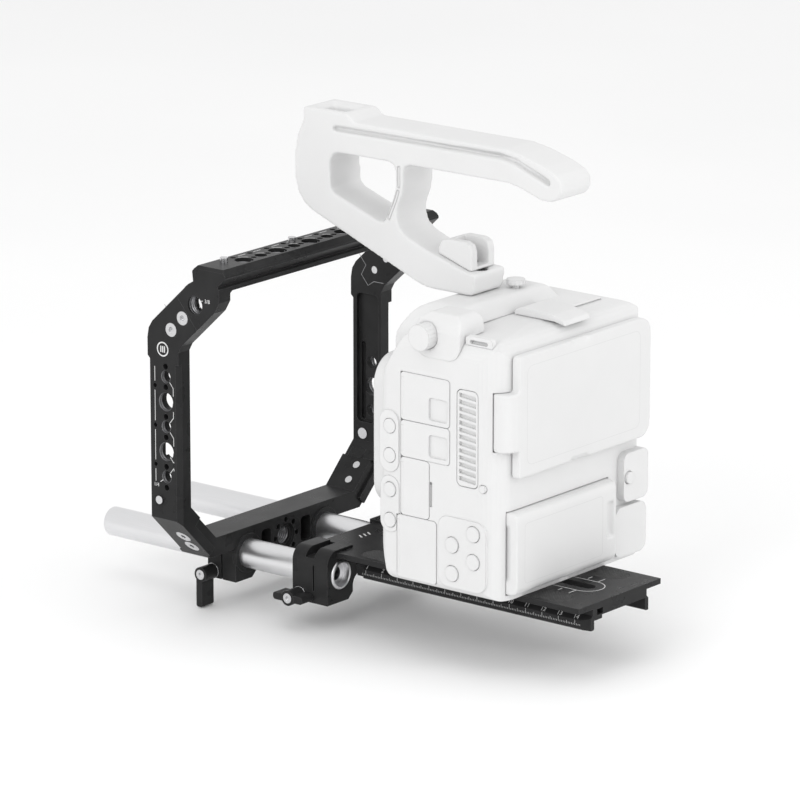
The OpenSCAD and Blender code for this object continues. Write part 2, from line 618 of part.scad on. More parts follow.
module handle_body() {
  color(white) rig() difference() {
    intersection() {
      along_x(-hw, hw) handle_side();
      along_y(-50, 130) union() { translate([-hw, 140]) square([2 * hw, 92]); }
    }
    along_x(-hw - 1, hw + 1) handle_window();
    along_x(hw - 2.2, hw + 1) handle_groove();
    along_x(-hw - 1, -hw + 2.2) handle_groove();
    for (y = bolt_y) { bar_z(148, 170, 0, y, 2.6); bar_z(157, 172, 0, y, 4.3); }
    along_z(227.6, 230) rr(-8, -35, 8, -15, 2);
    box([-5, -33, 222], [5, -17, 229]);
  }
}
module handle_bolts() {
  color(silver) rig() for (y = bolt_y) difference() {
    union() { bar_z(134, 157.2, 0, y, 2.5); bar_z(157.05, 159.6, 0, y, 4.1); }
    translate([0, y, 158]) cylinder(r = 1.7, h = 3, $fn = 6);
  }
}
module handle_shoe() {
  color(white) rig() difference() {
    along_x(-9, 9) polygon([[44, 166.8], [44, 170], [46, 173.6], [50, 174.8], [60, 174.8], [63.4,
      173.4], [64.6, 170], [64.6, 160.75],
      [62.6, 160.75]]);
    box([-4.4, 50, 164.4], [4.4, 70, 176]);
    box([-4.4, 56, 162.4], [4.4, 70, 176]);
  }
}

cage_top_bar();
cage_left_arm();
cage_right_arm();
cage_bottom_bar();
cage_upper_screws();
cage_lower_screws();
cage_pins();
rail_pins();
lever_left();
lever_right();
lever_screw_left();
lever_screw_right();
lever_washers();
rod_left();
rod_right();
dovetail_plate();
plate_pads();
rear_clamp();
clamp_screws();
wing_left();
wing_right();
wing_screw_left();
wing_screw_right();
wing_washers();
camera_screws();
camera_shell();
top_cover();
mount_housing();
lens_mount();
mount_button();
image_sensor();
side_housing();
side_knob();
strap_lug();
accessory_cover();
handle_screw();
lcd_monitor();
battery();
battery_latch();
door_upper();
door_middle();
door_lower();
door_bottom();
vent_grille();
button_a1();
button_a2();
button_a3();
button_a4();
button_b1();
button_b2();
button_b3();
button_b4();
button_small();
hand_grip();
record_trigger();
handle_body();
handle_shoe();
handle_bolts();
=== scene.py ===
import json
import math

import bmesh
import bpy
from mathutils import Matrix, Vector

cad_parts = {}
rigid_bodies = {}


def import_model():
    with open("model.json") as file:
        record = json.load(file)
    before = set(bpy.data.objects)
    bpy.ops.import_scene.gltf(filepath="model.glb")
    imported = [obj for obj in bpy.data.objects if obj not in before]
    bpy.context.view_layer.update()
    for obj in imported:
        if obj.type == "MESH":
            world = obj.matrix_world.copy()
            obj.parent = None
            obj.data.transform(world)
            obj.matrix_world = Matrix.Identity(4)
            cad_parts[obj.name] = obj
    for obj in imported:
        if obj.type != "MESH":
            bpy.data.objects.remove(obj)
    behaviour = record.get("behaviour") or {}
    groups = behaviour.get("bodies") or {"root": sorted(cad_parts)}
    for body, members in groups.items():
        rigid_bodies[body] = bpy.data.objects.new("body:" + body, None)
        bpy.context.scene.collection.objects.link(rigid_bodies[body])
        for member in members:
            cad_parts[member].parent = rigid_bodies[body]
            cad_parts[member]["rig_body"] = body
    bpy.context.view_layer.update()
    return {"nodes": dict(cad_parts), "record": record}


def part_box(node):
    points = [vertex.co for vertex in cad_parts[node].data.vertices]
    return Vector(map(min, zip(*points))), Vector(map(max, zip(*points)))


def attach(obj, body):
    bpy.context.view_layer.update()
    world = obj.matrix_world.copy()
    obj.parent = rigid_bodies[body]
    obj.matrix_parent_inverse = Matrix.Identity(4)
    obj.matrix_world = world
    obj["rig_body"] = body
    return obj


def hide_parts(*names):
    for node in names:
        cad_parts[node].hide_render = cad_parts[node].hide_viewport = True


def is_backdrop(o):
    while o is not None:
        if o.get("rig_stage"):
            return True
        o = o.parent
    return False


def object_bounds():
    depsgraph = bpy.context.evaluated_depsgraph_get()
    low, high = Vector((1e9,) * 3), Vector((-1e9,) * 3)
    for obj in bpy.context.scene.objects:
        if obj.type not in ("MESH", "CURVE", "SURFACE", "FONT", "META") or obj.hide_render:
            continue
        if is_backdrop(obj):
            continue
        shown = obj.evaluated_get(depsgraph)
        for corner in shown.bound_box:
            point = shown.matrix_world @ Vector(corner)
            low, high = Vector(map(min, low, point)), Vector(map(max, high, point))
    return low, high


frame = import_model()

# Looks of the cinema camera rig: finishes for the CAD nodes, soft moulded skins for the camera's
# covers, grip and handle, thread crests, engraved scales and line marks, and a plain studio.
# Sizes are in mm and turned into metres by MM.
MM = 0.001
NODES = frame["nodes"]
RECORD = frame["record"]
RIG_SHIFT = Vector((0, -64.5, 1.5))  # mm from the rods' rear ends and axes to the frame's origin
QUARTER, THREE_EIGHTHS = 3.175, 4.7625  # radii of the two accessory threads
HOLE_PITCH = 12.7
RAIL_THREAD, CORNER_THREAD = 5.2, 7  # lengths of the crests in the rail and in the arms' corners
ARM_ROW = -68.4  # where the arm's row of threaded holes runs, along the rods
CORNER_HOLE = (-48.9, 140.4)  # along the rods and above them
RAIL_ROW = -37.5  # where the rail's row of threaded holes crosses the rods
RAIL_QUARTER_X = -4.3  # the middle quarter-inch hole of that row
RAIL_STEPS = range(-2, 3)


def rig(x, y, z):
    """A point given in mm from the rods' rear ends and axes, in the frame's metres."""
    return (Vector((x, y, z)) + RIG_SHIFT) * MM


# ---------- shader helpers ----------
def new_material(name, colour, rough, metal=0.0):
    """A principled material; returns it with its node tree, shader and object coordinates."""
    mat = bpy.data.materials.new(name)
    mat.use_nodes = True
    tree = mat.node_tree
    shader = tree.nodes["Principled BSDF"]
    shader.inputs["Base Color"].default_value = (*colour, 1)
    shader.inputs["Roughness"].default_value = rough
    shader.inputs["Metallic"].default_value = metal
    coords = tree.nodes.new("ShaderNodeTexCoord")
    return mat, tree, shader, coords


def noise(tree, coords, scale, detail=3.0, stretch=(1, 1, 1)):
    """Noise in object space, in cycles per metre, stretched along an axis."""
    mapping = tree.nodes.new("ShaderNodeMapping")
    mapping.inputs["Scale"].default_value = stretch
    tree.links.new(coords.outputs["Object"], mapping.inputs["Vector"])
    tex = tree.nodes.new("ShaderNodeTexNoise")
    tex.inputs["Scale"].default_value = scale
    tex.inputs["Detail"].default_value = detail
    tree.links.new(mapping.outputs["Vector"], tex.inputs["Vector"])
    return tex.outputs["Fac"]


def ramp(tree, fac, low, high, start=0.3, end=0.7):
    """Two-colour ramp over a factor; low and high are grey values or colours."""
    node = tree.nodes.new("ShaderNodeValToRGB")
    for stop, value, at in ((0, low, start), (1, high, end)):
        grey = value if isinstance(value, tuple) else (value,) * 3
        node.color_ramp.elements[stop].color = (*grey, 1)
        node.color_ramp.elements[stop].position = at
    tree.links.new(fac, node.inputs["Fac"])
    return node.outputs["Color"]


def bump(tree, shader, fac, strength, distance, after=None):
    """Gives the shader a fine relief from a factor, over the normals of after where given."""
    node = tree.nodes.new("ShaderNodeBump")
    node.inputs["Strength"].default_value = strength
    node.inputs["Distance"].default_value = distance
    tree.links.new(fac, node.inputs["Height"])
    if after:
        tree.links.new(after, node.inputs["Normal"])
    tree.links.new(node.outputs["Normal"], shader.inputs["Normal"])


def edge_wear(tree, base, highlight_colour, radius):
    """Paints a thin highlight line along the edges, within a radius in mm, where the eased normals turn from
    the true ones.
    """
    geometry = tree.nodes.new("ShaderNodeNewGeometry")
    turn = tree.nodes.new("ShaderNodeVectorMath")
    turn.operation = "DOT_PRODUCT"
    tree.links.new(rounded(tree, radius), turn.inputs[0])
    tree.links.new(geometry.outputs["Normal"], turn.inputs[1])
    # painted highlight: the mask rises where the eased normal leans away from the true normal
    highlight_mask = ramp(tree, turn.outputs["Value"], 1.0, 0.0, 0.82, 0.99)
    mix = tree.nodes.new("ShaderNodeMix")
    mix.data_type = "RGBA"
    tree.links.new(highlight_mask, mix.inputs["Factor"])
    tree.links.new(base, mix.inputs["A"])
    mix.inputs["B"].default_value = (*highlight_colour, 1)
    return mix.outputs["Result"]


def rounded(tree, radius):
    """Normals eased over the edges by a radius in mm, so that each catches a thin line of light."""
    node = tree.nodes.new("ShaderNodeBevel")
    node.samples = 6
    node.inputs["Radius"].default_value = radius * MM
    return node.outputs["Normal"]


# ---------- materials ----------
def anodised(name, dark, light, rough_low, rough_high):
    """Bead-blasted, dyed anodising: fine matt grain, faint clouding and a painted highlight along the edges.
    """
    mat, tree, shader, coords = new_material(name, dark, rough_low)
    cloud = noise(tree, coords, 90, 4)
    colour = ramp(tree, cloud, dark, light)
    # the paler edge colour (0.09) is a painted highlight along every edge
    tree.links.new(edge_wear(tree, colour, (0.09, 0.09, 0.092), 0.3), shader.inputs["Base Color"])
    tree.links.new(ramp(tree, cloud, rough_low, rough_high), shader.inputs["Roughness"])
    bump(tree, shader, noise(tree, coords, 5200, 2), 0.10, 0.00012, rounded(tree, 0.35))
    shader.inputs["Specular IOR Level"].default_value = 0.09
    return mat


def brushed(name, colour, rough, along, scale=900, strength=0.12, spread=0.12):
    """Bright metal with grain along one axis: (1, 0, 0) is grain along X."""
    mat, tree, shader, coords = new_material(name, colour, rough, 1.0)
    stretch = tuple(0.02 if a else 1.0 for a in along)
    grain = noise(tree, coords, scale, 5, stretch)
    low, high = (tuple(c * f for c in colour) for f in (1 - spread, 1 + spread / 2))
    tree.links.new(ramp(tree, grain, low, high), shader.inputs["Base Color"])
    tree.links.new(ramp(tree, grain, rough * (1 - spread), rough * (1 + spread)), shader.inputs["Roughness"])
    bump(tree, shader, grain, strength, 0.00006, rounded(tree, 0.2))
    return mat


def moulded(name, colour, rough):
    """Matt moulded plastic with a fine grained texture and faint unevenness."""
    mat, tree, shader, coords = new_material(name, colour, rough)
    cloud = noise(tree, coords, 45, 3)
    low, high = (tuple(c * f for c in colour) for f in (0.975, 1.0))
    tree.links.new(ramp(tree, cloud, low, high), shader.inputs["Base Color"])
    tree.links.new(ramp(tree, cloud, rough * 0.92, rough * 1.06), shader.inputs["Roughness"])
    bump(tree, shader, noise(tree, coords, 3400, 2), 0.10, 0.00010, rounded(tree, 0.7))
    shader.inputs["Specular IOR Level"].default_value = 0.35
    return mat


def rubber_material():
    """Rubber strip with a fine diagonal grip pattern."""
    mat, tree, shader, coords = new_material("rubber_black", (0.03, 0.03, 0.032), 0.75)
    mapping = tree.nodes.new("ShaderNodeMapping")
    mapping.inputs["Rotation"].default_value = (0, 0, math.radians(45))
    tree.links.new(coords.outputs["Object"], mapping.inputs["Vector"])
    heights = []
    for direction in ("X", "Y"):
        wave = tree.nodes.new("ShaderNodeTexWave")
        wave.bands_direction = direction
        wave.inputs["Scale"].default_value = 260
        tree.links.new(mapping.outputs["Vector"], wave.inputs["Vector"])
        heights.append(wave.outputs["Fac"])
    both = tree.nodes.new("ShaderNodeMath")
    both.operation = "MINIMUM"
    tree.links.new(heights[0], both.inputs[0])
    tree.links.new(heights[1], both.inputs[1])
    bump(tree, shader, both.outputs["Value"], 0.5, 0.0002)
    tree.links.new(ramp(tree, noise(tree, coords, 300), 0.024, 0.042), shader.inputs["Base Color"])
    return mat


def sensor_material():
    """Sensor glass: dark, glossy, with a faint thin-film tint."""
    mat, tree, shader, coords = new_material("sensor_dark", (0.02, 0.025, 0.035), 0.08)
    shader.inputs["Coat Weight"].default_value = 0.8
    tree.links.new(ramp(tree, noise(tree, coords, 60), (0.02, 0.022, 0.04), (0.03, 0.045, 0.04)),
                   shader.inputs["Base Color"])
    return mat


def ink_material(name, colour):
    """Laser-etched mark: matt, slightly broken up."""
    mat, tree, shader, coords = new_material(name, colour, 0.6)
    low, high = (tuple(c * f for c in colour) for f in (0.8, 1.0))
    tree.links.new(ramp(tree, noise(tree, coords, 2500), low, high), shader.inputs["Base Color"])
    return mat


MATERIALS = {
    "anodised_black": anodised("anodised_black", (0.021, 0.021, 0.0213), (0.027, 0.027, 0.0274),
                               0.26, 0.34),
    "rod_silver": brushed("rod_silver", (0.78, 0.78, 0.79), 0.34, (0, 1, 0), 3600, 0.02, 0.03),
    "steel_bright": brushed("steel_bright", (0.62, 0.62, 0.63), 0.24, (1, 0, 0), 2600, 0.05),
    "white_plastic": moulded("white_plastic", (0.70, 0.70, 0.70), 0.50),
    "rubber_black": rubber_material(),
    "sensor_dark": sensor_material(),
}
THREAD = brushed("thread_dark", (0.30, 0.30, 0.31), 0.32, (1, 0, 0), 2200, 0.05)
INK = ink_material("ink_white", (0.72, 0.72, 0.72))
INK_GREY = ink_material("ink_grey", (0.34, 0.34, 0.35))


# ---------- mesh helpers ----------
def paint(obj, mat):
    obj.data.materials.clear()
    obj.data.materials.append(mat)


def linked(name, data):
    obj = bpy.data.objects.new(name, data)
    bpy.context.scene.collection.objects.link(obj)
    return obj


def object_from(name, bm):
    """A linked object that holds what bm holds."""
    mesh = bpy.data.meshes.new(name)
    bm.to_mesh(mesh)
    bm.free()
    return linked(name, mesh)


def new_object(name, bm, mat, body, smooth=True):
    obj = object_from(name, bm)
    for face in obj.data.polygons:
        face.use_smooth = smooth
    paint(obj, mat)
    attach(obj, body)


def drop_imported_normals(mesh):
    for name in ("custom_normal", "sharp_face", "sharp_edge"):
        if mesh.attributes.get(name):
            mesh.attributes.remove(mesh.attributes[name])


def weld(obj):
    obj.modifiers.new("weld", "WELD").merge_threshold = 0.01 * MM


def box_mesh(low, high):
    """A box between two corners, in metres."""
    bm = bmesh.new()
    bmesh.ops.create_cube(bm, size=1)
    for v in bm.verts:
        v.co = Vector([low[k] if v.co[k] < 0 else high[k] for k in range(3)])
    return bm


def round_edges(bm, offset, segments):
    bmesh.ops.bevel(bm, geom=bm.edges[:], offset=offset, segments=segments, profile=0.5, affect="EDGES")


def bake_modifiers(obj):
    """Replaces obj's mesh with its evaluated one, and clears its modifiers."""
    bpy.context.view_layer.update()
    mesh = bpy.data.meshes.new_from_object(obj.evaluated_get(bpy.context.evaluated_depsgraph_get()))
    obj.modifiers.clear()
    obj.data = mesh
    for face in mesh.polygons:
        face.use_smooth = True


MOST_WRONG = 0.01  # share of a bevelled node that may be shaded badly


def shaded_wrong(mesh):
    """Share of a mesh's broad faces whose corner normals lean well away from the face."""
    broad, leaning = 1e-6, 0.21  # square metres and radians
    total = wrong = 0.0
    normals = mesh.corner_normals
    for face in mesh.polygons:
        if face.area > broad:
            total += face.area
            if max(normals[i].vector.angle(face.normal, 0) for i in face.loop_indices) > leaning:
                wrong += face.area
    return wrong / max(total, 1e-9)


def soften(obj, width):
    """Small rounded edges, width in mm, on a CAD node where they stay clean; else its own exact normals."""
    exact = obj.data.copy()
    drop_imported_normals(obj.data)
    for face in obj.data.polygons:
        face.use_smooth = True
    weld(obj)
    bevel = obj.modifiers.new("edge", "BEVEL")
    bevel.segments = 2
    bevel.limit_method = "ANGLE"
    bevel.angle_limit = math.radians(32)
    bevel.miter_outer = "MITER_ARC"
    bevel.harden_normals = True
    bevel.use_clamp_overlap = True
    bevel.width = width * MM
    bpy.context.view_layer.update()
    done = obj.evaluated_get(bpy.context.evaluated_depsgraph_get())
    wrong = shaded_wrong(done.to_mesh())
    done.to_mesh_clear()
    if wrong > MOST_WRONG:
        obj.modifiers.clear()
        obj.data = exact


def milled(obj):
    """Broad flat faces kept truly flat; the material's eased edges round them off."""
    drop_imported_normals(obj.data)
    for face in obj.data.polygons:
        face.use_smooth = False
    weld(obj)


def skin(node, voxel, rounds, name, cutters=()):
    """A moulded skin from a CAD node: remeshed with a voxel in mm, and relaxed so that edges turn softly."""
    source = NODES[node]
    obj = linked(name, source.data.copy())
    drop_imported_normals(obj.data)
    weld(obj)
    remesh = obj.modifiers.new("remesh", "REMESH")
    remesh.mode = "VOXEL"
    remesh.voxel_size = voxel * MM
    relax = obj.modifiers.new("relax", "SMOOTH")
    relax.factor = 0.5
    relax.iterations = rounds
    for i, cutter in enumerate(cutters):
        cut = obj.modifiers.new(f"cut_{i}", "BOOLEAN")
        cut.operation, cut.object, cut.solver = "DIFFERENCE", cutter, "EXACT"
    bake_modifiers(obj)
    for cutter in cutters:
        bpy.data.objects.remove(cutter)
    slot = next(sub["material_slot"] for sub in RECORD["subparts"] if sub["node"] == node)
    paint(obj, MATERIALS[slot])
    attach(obj, source["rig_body"])
    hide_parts(node)


def channel(points, half, x_low, x_high, name):
    """Round-ended bar along a line of (y, z) points, spanning x_low to x_high; mm, as in rig()."""
    line = [Vector(point) + RIG_SHIFT.yz for point in points]
    left, right = [], []
    for i, p in enumerate(line):
        ahead = (line[min(i + 1, len(line) - 1)] - line[max(i - 1, 0)]).normalized()
        side = Vector((-ahead.y, ahead.x)) * half
        left.append(p + side)
        right.append(p - side)

    def cap(centre, start, sign):
        out = []
        for k in range(1, 8):
            turn = math.pi * k / 8 * sign
            out.append(centre + Matrix.Rotation(turn, 2) @ (start - centre))
        return out
    outline = left + cap(line[-1], left[-1], -1) + right[::-1] + cap(line[0], right[0], -1)
    bm = bmesh.new()
    rings = [[bm.verts.new((x * MM, q.x * MM, q.y * MM)) for q in outline] for x in (x_low, x_high)]
    bm.faces.new(rings[0])
    bm.faces.new(rings[1][::-1])
    for i in range(len(outline)):
        j = (i + 1) % len(outline)
        bm.faces.new((rings[0][j], rings[0][i], rings[1][i], rings[1][j]))
    bmesh.ops.recalc_face_normals(bm, faces=bm.faces)
    return object_from(name, bm)


def trigger_pocket():
    """Round pocket of the record trigger, kept open through the grip's soft skin."""
    play, behind, ahead = 0.25 * MM, 9 * MM, 3.5 * MM
    lo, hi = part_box("record_trigger")
    radius = (hi.x - lo.x) / 2 + play
    bm = bmesh.new()
    bmesh.ops.create_cone(bm, cap_ends=True, segments=64, radius1=radius, radius2=radius,
                          depth=hi.y - lo.y + behind + ahead)
    turn = Vector((0, 1, 0)).to_track_quat("Z", "Y").to_matrix().to_4x4()
    centre = (lo + hi) / 2 + Vector((0, (ahead - behind) / 2, 0))
    bm.transform(Matrix.Translation(centre) @ turn)
    return object_from("trigger_cut", bm)


def handle():
    """The moulded handle with its long side channels and the two short trims beside the finger window."""
    groove = [(-19, 220.6), (84, 221.4), (92.5, 220.0), (113.2, 212.0)]
    upper, lower = [(21.4, 206.6), (21.4, 197.4)], [(20.9, 194.6), (19.4, 190.4), (15.2, 180.6)]
    cutters = []
    for side in (1, -1):
        near, far = sorted((side * 9.6, side * 13))
        cutters.append(channel(groove, 1.15, near, far, "groove_cut"))
        near, far = sorted((side * 11.0, side * 13))
        cutters.append(channel(upper, 1.0, near, far, "upper_cut"))
        cutters.append(channel(lower, 1.0, near, far, "lower_cut"))
    skin("handle_body", 0.8, 10, "handle_skin", cutters)
    for side, label in ((1, "left"), (-1, "right")):
        for line, part in ((upper, "upper"), (lower, "lower")):
            near, far = sorted((side * 10.6, side * 11.7))
            trim = channel(line, 0.55, near, far, f"handle_trim_{label}_{part}")
            paint(trim, MATERIALS["white_plastic"])
            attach(trim, NODES["handle_body"]["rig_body"])


# ---------- CAD nodes ----------
# Edge widths in mm, where they differ from the usual one; skins: voxel in mm, relaxing rounds, name.
USUAL_EDGE = 0.35
EDGES = {"plate_pads": 0.15, "button_small": 0.12, "cage_upper_screws": 0.2, "cage_lower_screws": 0.15,
         "cage_pins": 0.25, "rail_pins": 0.3, "clamp_screws": 0.15, "lever_washers": 0.1,
         "wing_washers": 0.1, "vent_grille": 0.12, "image_sensor": 0.1, "camera_screws": 0.2,
         "handle_bolts": 0.2, "mount_housing": 1.5, "camera_shell": 0.5, "side_knob": 0.8,
         "lever_left": 0.5, "lever_right": 0.5, "wing_left": 0.6, "wing_right": 0.6, "strap_lug": 0.5,
         "rod_left": 0.3, "rod_right": 0.3}
MILLED = ("cage_left_arm", "cage_right_arm", "cage_top_bar")
SKINS = {"handle_shoe": (0.4, 10, "shoe_skin"), "lcd_monitor": (0.6, 8, "monitor_skin"),
         "battery": (0.7, 10, "battery_skin"), "top_cover": (0.7, 12, "top_cover_skin"),
         "side_housing": (0.5, 12, "side_housing_skin"), "accessory_cover": (0.35, 6, "cover_skin")}
SOFT = {"handle_body", "hand_grip", *SKINS}


def finish_nodes():
    """Paints each CAD node, and rounds or flattens the ones that no skin stands for."""
    for sub in RECORD["subparts"]:
        name = sub["node"]
        node = NODES[name]
        paint(node, MATERIALS[sub["material_slot"]])
        if name in MILLED:
            milled(node)
        elif name not in SOFT:
            soften(node, EDGES.get(name, USUAL_EDGE))


# ---------- thread crests ----------
def thread(name, body, centre, axis, radius, length, pitch=1.27, depth=0.55):
    """Screw thread inside a bore: a swept triangular ridge about an axis through its centre; sizes in mm."""
    bm = bmesh.new()
    steps, turns = 24, max(2, int(length / pitch) - 1)
    count = steps * turns
    rows = []
    for i in range(count + 1):
        turn = 2 * math.pi * i / steps
        along = (i / steps - turns / 2) * pitch
        fade = min(1.0, i / steps, (count - i) / steps)
        row = []
        for offset, inset in ((-0.42, 0.0), (0.0, depth * fade), (0.42, 0.0)):
            r = radius + 0.02 - inset
            row.append(bm.verts.new((r * math.cos(turn) * MM, r * math.sin(turn) * MM,
                                     (along + offset * pitch) * MM)))
        rows.append(row)
    for a, b in zip(rows, rows[1:]):
        for j in (0, 1):
            bm.faces.new((a[j], a[j + 1], b[j + 1], b[j]))
        bm.faces.new((a[2], a[0], b[0], b[2]))
    bm.faces.new((rows[0][0], rows[0][1], rows[0][2]))
    bm.faces.new((rows[-1][2], rows[-1][1], rows[-1][0]))
    bmesh.ops.recalc_face_normals(bm, faces=bm.faces)
    turned = Vector(axis).to_track_quat("Z", "Y").to_matrix().to_4x4()
    bm.transform(Matrix.Translation(centre) @ turned)
    new_object(name, bm, THREAD, body, smooth=False)


def threads():
    """Crests in every threaded mount, in the rail's two rows and in the arms' corner holes."""
    for mount in RECORD["mounts"]:
        if mount["kind"] == "threaded_hole":
            body = "rods" if mount["name"].startswith("rod") else "cage"
            thread("thread_" + mount["name"], body, Vector(mount["pos_m"]), Vector(mount["axis"]),
                   mount["dims"]["r_mm"], mount["dims"]["length_mm"] * 0.8)
    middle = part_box("cage_top_bar")[1].z - 3.25 * MM
    for number, i in enumerate(RAIL_STEPS, 1):
        for label, radius, offset in (("quarter", QUARTER, 0), ("three_eighths", THREE_EIGHTHS, HOLE_PITCH)):
            centre = rig(RAIL_QUARTER_X + offset + 2 * HOLE_PITCH * i, RAIL_ROW, 0)
            centre.z = middle
            thread(f"thread_rail_{label}_{number}", "cage", centre, (0, 0, 1), radius, RAIL_THREAD)
    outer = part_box("cage_left_arm")[1].x / MM
    for name, side in (("left", 1), ("right", -1)):
        thread(f"thread_{name}_corner", "cage", rig(side * (outer - 4), *CORNER_HOLE), (1, 0, 0),
               THREE_EIGHTHS, CORNER_THREAD)


# ---------- engraving ----------
def strokes(name, body, lines, width, mat, normal, lift=0.03):
    """Flat line marks, as thin ribs lying on a surface: lists of points in metres, width and lift in mm."""
    bm = bmesh.new()
    up = Vector(normal).normalized()
    for line in lines:
        points = [Vector(p) for p in line]
        left, right = [], []
        for i, p in enumerate(points):
            ahead = (points[min(i + 1, len(points) - 1)] - points[max(i - 1, 0)]).normalized()
            side = up.cross(ahead).normalized() * (width / 2 * MM)
            left.append(bm.verts.new(p + side + up * lift * MM))
            right.append(bm.verts.new(p - side + up * lift * MM))
        for i in range(len(points) - 1):
            bm.faces.new((left[i], right[i], right[i + 1], left[i + 1]))
    extrude = bmesh.ops.extrude_face_region(bm, geom=bm.faces[:])
    moved = [v for v in extrude["geom"] if isinstance(v, bmesh.types.BMVert)]
    bmesh.ops.translate(bm, verts=moved, vec=-up * (lift + 0.02) * MM)
    bmesh.ops.recalc_face_normals(bm, faces=bm.faces)
    new_object(name, bm, mat, body, smooth=False)


def digits(name, body, text, at, right, up, height, mat):
    """Scale digits, set flat on a surface with its reading direction and upward direction."""
    curve = bpy.data.curves.new(name, "FONT")
    curve.body = text
    curve.size = height * MM / 0.70  # a digit stands 0.70 of the font's size high
    curve.align_x = "CENTER"
    curve.extrude = 0.02 * MM
    curve.resolution_u = 3
    temp = linked(name + "_curve", curve)
    bpy.context.view_layer.update()
    mesh = bpy.data.meshes.new_from_object(temp.evaluated_get(bpy.context.evaluated_depsgraph_get()))
    bpy.data.objects.remove(temp)
    x, y = Vector(right).normalized(), Vector(up).normalized()
    turn = Matrix((x, y, x.cross(y))).transposed().to_4x4()
    mesh.transform(Matrix.Translation(at) @ turn)
    obj = linked(name, mesh)
    paint(obj, mat)
    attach(obj, body)


def arc(centre, radius, start, end, steps, u, v):
    """Points of an arc in the plane of u and v, angles in degrees, radius in mm."""
    pts = []
    for i in range(steps + 1):
        a = math.radians(start + (end - start) * i / steps)
        pts.append(Vector(centre) + (Vector(u) * math.cos(a) + Vector(v) * math.sin(a)) * radius * MM)
    return pts


def scale_marks():
    """Millimetre scale along the left foot of the plate, with numbered centimetres."""
    lo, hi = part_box("dovetail_plate")
    foot_x = 24.5 * MM
    zero = hi.y - 148.8 * MM
    base = lo.z + 2.0 * MM
    ticks = []
    for step in range(8, 144):
        y = zero + step * MM
        tall = 2.6 if step % 10 == 0 else 1.5 if step % 5 == 0 else 0.85
        ticks.append([(foot_x, y, base), (foot_x, y, base + tall * MM)])
    strokes("scale_ticks", "base", ticks, 0.16, INK, (1, 0, 0))
    slope = Vector((-1, 0, 1)).normalized()
    start = Vector((foot_x, zero, 4.6 * MM)) + slope * 0.7 * MM + Vector((1, 0, 1)) * 0.02 * MM
    for number in range(1, 15):
        at = start + Vector((0, number * 10 * MM, 0))
        digits(f"scale_{number}", "base", str(number), at, (0, 1, 0), slope, 2.3, INK)


def plate_marks():
    """U-shaped outline round the slot's rear end, with short guide lines, and a mark at the front."""
    lo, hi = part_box("dovetail_plate")
    top, r = hi.z, 8.5
    apex = rig(0, 138.2, 0).y / MM
    u_mark = [(r * MM, (apex - 30) * MM, top), (r * MM, (apex - r) * MM, top)]
    u_mark += arc((0, (apex - r) * MM, top), r, 0, 180, 24, (1, 0, 0), (0, 1, 0))[1:]
    u_mark += [(-r * MM, (apex - 30) * MM, top)]
    lines = [u_mark]
    for side in (1, -1):
        for inner, outer, behind in ((r, 14.6, 8.8), (10.4, 13.8, 16)):
            y = (apex - behind) * MM
            lines.append([(side * inner * MM, y, top), (side * outer * MM, y, top)])
    strokes("plate_outline_mark", "base", lines, 0.42, INK, (0, 0, 1))
    front = lo.y + 9 * MM
    bars = [[(x * MM, front, top), ((x + 2.2) * MM, front + 3.4 * MM, top)] for x in (-4.2, -0.9, 2.4)]
    strokes("plate_front_mark", "base", bars, 0.9, INK, (0, 0, 1))


def arm_marks():
    """Thin white guide line, hole labels and a round mark on the left arm's outer face."""
    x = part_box("cage_left_arm")[1].x / MM
    out, along, above = (1, 0, 0), (0, 1, 0), (0, 0, 1)
    guide, gap = -75.4, 2.3
    ends = [105.5] + [z + side * gap for z in (95.7, 75.5, 55.5) for side in (1, -1)] + [46.8]
    lines = [[rig(x, guide, a), rig(x, guide, b)] for a, b in zip(ends[::2], ends[1::2])]
    near, far = ARM_ROW + 2.6, ARM_ROW + 4.9
    for z in (101.1, 75.6, 62.9):
        lines.append([rig(x, near, z - 2.4), rig(x, far, z - 5.2), rig(x, far, z - 9.2)])
    for z in (75.6, 50.0):
        lines.append([rig(x, near, z + 2.4), rig(x, far, z + 5.2), rig(x, far, z + 8.4)])
    lines.append([rig(x, ARM_ROW - 2.2, 48.2), rig(x, ARM_ROW - 4.0, 46.9)])
    y, z = CORNER_HOLE
    lines.append([rig(x, y + 3.4, z - 0.6), rig(x, y + 3.4, z + 2.6), rig(x, y + 5.2, z + 3.0)])
    strokes("arm_lines", "cage", lines, 0.34, INK, out)
    digits("arm_quarter", "cage", "1/4", rig(x + 0.02, ARM_ROW - 6.6, 44.2), along, above, 1.9, INK)
    digits("arm_three_eighths", "cage", "3/8", rig(x + 0.02, y + 8.0, z + 2.2), along, above, 1.9, INK)
    y, z = -70.1, 114.9
    ring = arc(rig(x, y, z), 3.4, 0, 360, 40, along, above)
    bars = [[rig(x, y + t, z - 1.6), rig(x, y + t, z + 1.6)] for t in (-1.2, 0, 1.2)]
    strokes("arm_ring_mark", "cage", [ring, *bars], 0.7, INK, out)


def rail_marks():
    """Label lines on the accessory rail's top face."""
    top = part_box("cage_top_bar")[1].z

    def on_top(x, y):
        point = rig(x, y, 0)
        point.z = top
        return point
    lines = []
    for i in RAIL_STEPS:
        x = RAIL_QUARTER_X + 2 * HOLE_PITCH * i
        label = RAIL_ROW - 7.4
        lines.append([on_top(x + 3, label), on_top(x + 8.5, label)])
        lines.append([on_top(x - 8.5, label), on_top(x - 3, label)])
        for r, hole in ((4.4, x), (6.0, x + HOLE_PITCH)):
            lines.append(arc(on_top(hole, RAIL_ROW), r, 200, 250, 8, (1, 0, 0), (0, 1, 0)))
    strokes("rail_lines", "cage", lines, 0.5, INK, (0, 0, 1))


